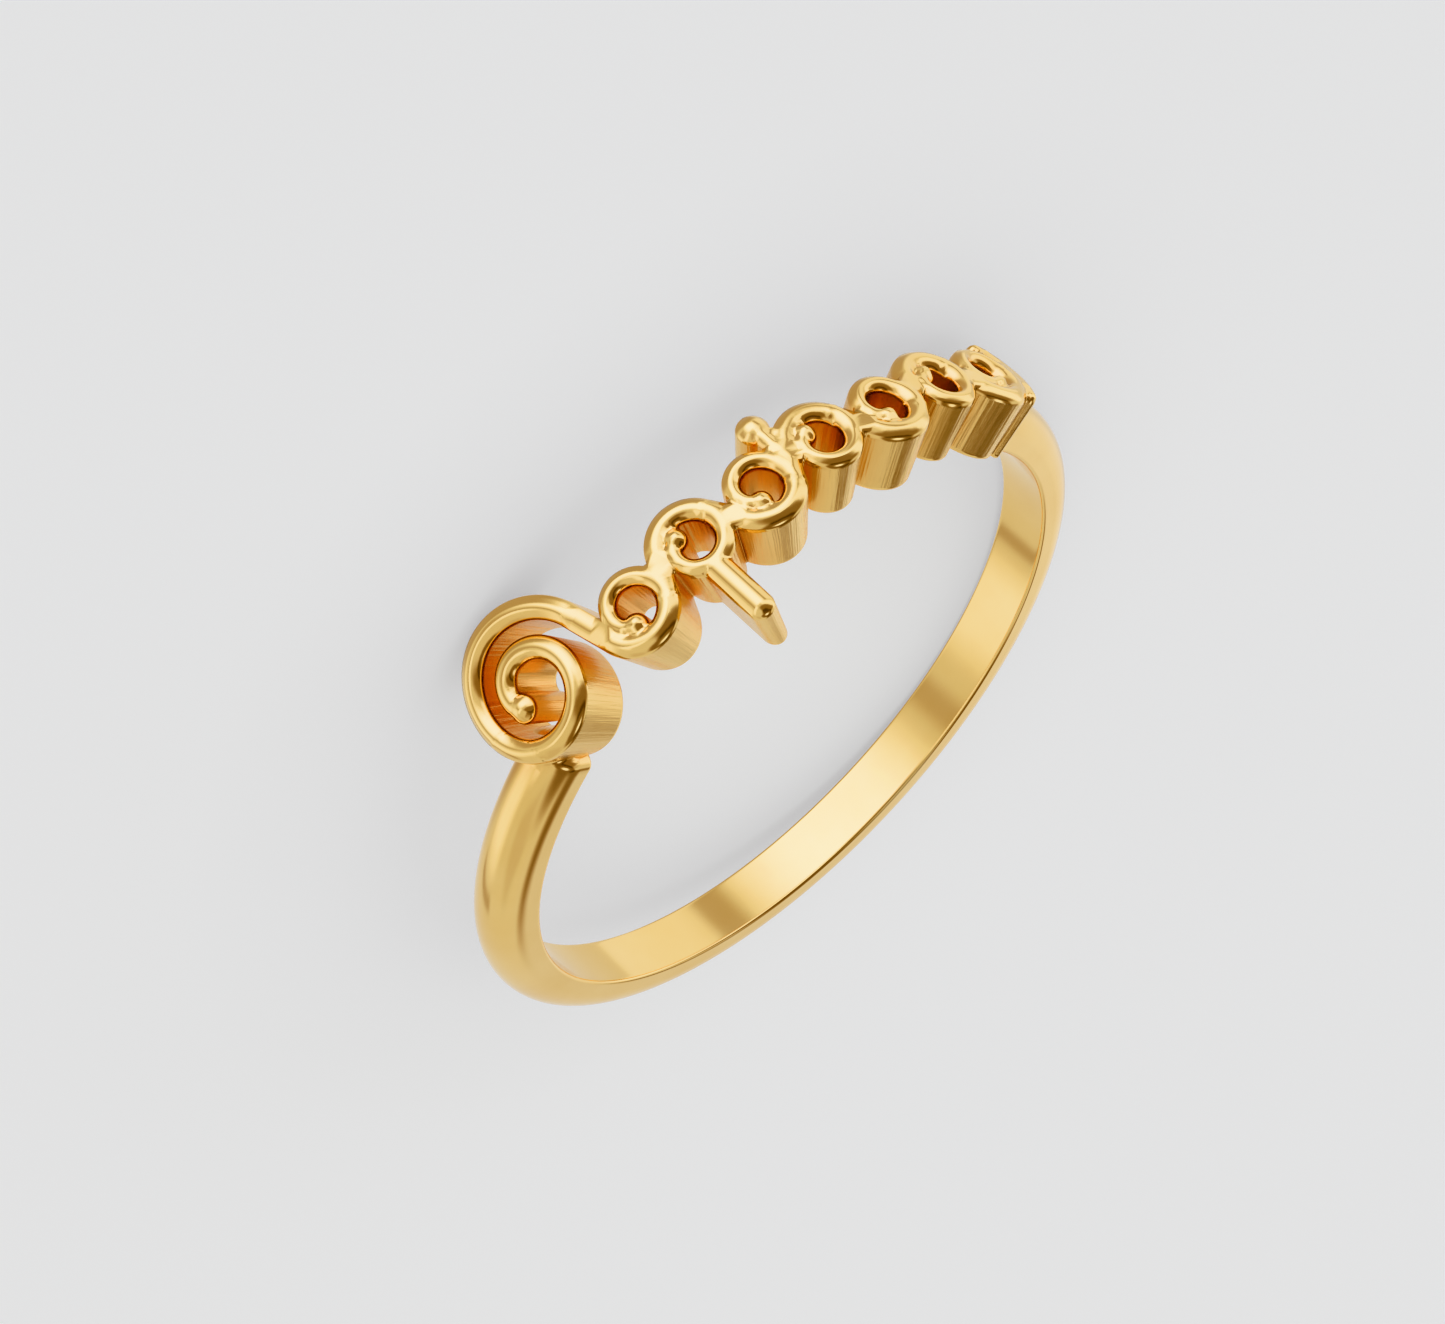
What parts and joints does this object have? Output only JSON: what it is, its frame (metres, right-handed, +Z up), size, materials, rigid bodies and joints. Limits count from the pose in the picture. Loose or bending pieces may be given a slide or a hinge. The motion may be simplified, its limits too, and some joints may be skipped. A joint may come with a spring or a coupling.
{
  "type": "finger ring",
  "caption": "Polished gold finger ring: a plain half-round shank closed by an openwork band of running scrolls with a large volute at one end.",
  "frame": {"origin": "centre of the bounding box's base, on the surface that the ring lies on", "axes": "+Z up, away from that surface; -Y points out through the middle of the scroll band; the large volute is on the +X side of the band"},
  "size_m": [0.0196, 0.0204, 0.0053],
  "materials": {
    "gold": "mirror-polished yellow gold"
  },
  "bodies": {
    "root": {"scroll_ring": "gold"}
  },
  "joints": []
}
